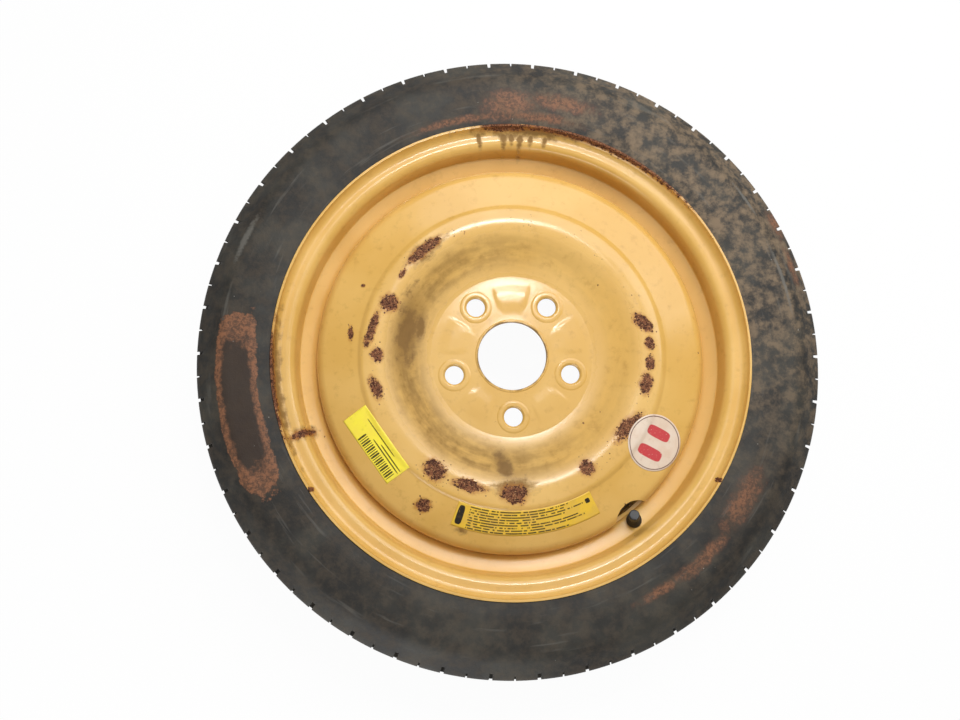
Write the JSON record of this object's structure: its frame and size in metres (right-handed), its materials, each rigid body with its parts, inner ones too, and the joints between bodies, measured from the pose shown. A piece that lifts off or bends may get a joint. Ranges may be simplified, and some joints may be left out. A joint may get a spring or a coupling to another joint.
{
  "type": "spare wheel",
  "caption": "Narrow temporary spare wheel: pressed steel disc welded in a drop-well rim, slim tyre with notched shoulders, snap-in valve with screw cap, faded labels.",
  "frame": {"origin": "on the wheel's axis, on the floor under its inboard side", "axes": "+Z along the wheel's axis towards the outboard face; +X to the right as that face is seen"},
  "size_m": [0.586, 0.586, 0.13],
  "materials": {
    "tyre_rubber": "aged black rubber",
    "wheel_paint": "yellow enamel on steel, with rust spots",
    "valve_rubber": "black rubber",
    "valve_brass": "turned brass",
    "gasket_plastic": "plain",
    "spring_steel": "wire",
    "cap_plastic": "moulded",
    "label_paper": "faded yellow print",
    "shop_paper": "bright yellow",
    "sticker_paper": "white, red print"
  },
  "bodies": {
    "wheel": {"tyre": "tyre_rubber", "rim": "wheel_paint", "disc": "wheel_paint", "weld_beads": "wheel_paint", "valve_stem": "valve_rubber", "valve_insert": "valve_brass", "valve_core_head": "valve_brass", "valve_core_barrel": "valve_brass", "valve_core_gasket": "gasket_plastic", "valve_core_spring": "spring_steel", "info_label": "label_paper", "shop_label": "shop_paper", "round_sticker": "sticker_paper"},
    "valve_core_pin": {"valve_core_pin": "valve_brass", "valve_core_seal": "valve_rubber"},
    "valve_cap_seal": {"valve_cap_seal": "valve_rubber"},
    "valve_cap": {"valve_cap": "cap_plastic"}
  },
  "joints": [
    {"name": "cap_lift", "type": "slide", "parent": "wheel", "child": "valve_cap_seal", "axis": [-0.2049, 0.2739, 0.9397], "range_m": [0, 0.00635]},
    {"name": "cap_turn", "type": "hinge", "parent": "valve_cap_seal", "child": "valve_cap", "pos_m": [0.11405, -0.15246, 0.09281], "axis": [-0.2049, 0.2739, 0.9397], "range_deg": [0, 2880]},
    {"name": "pin_press", "type": "slide", "parent": "wheel", "child": "valve_core_pin", "axis": [0.2049, -0.2739, -0.9397], "range_m": [0, 0.0012], "stiffness_N_per_m": 400, "springref_m": -0.0005, "deforming": ["valve_core_spring"]}
  ],
  "couplings": [
    {"joint": "cap_turn", "follows": "cap_lift", "rad_per_m": 7915.8}
  ]
}
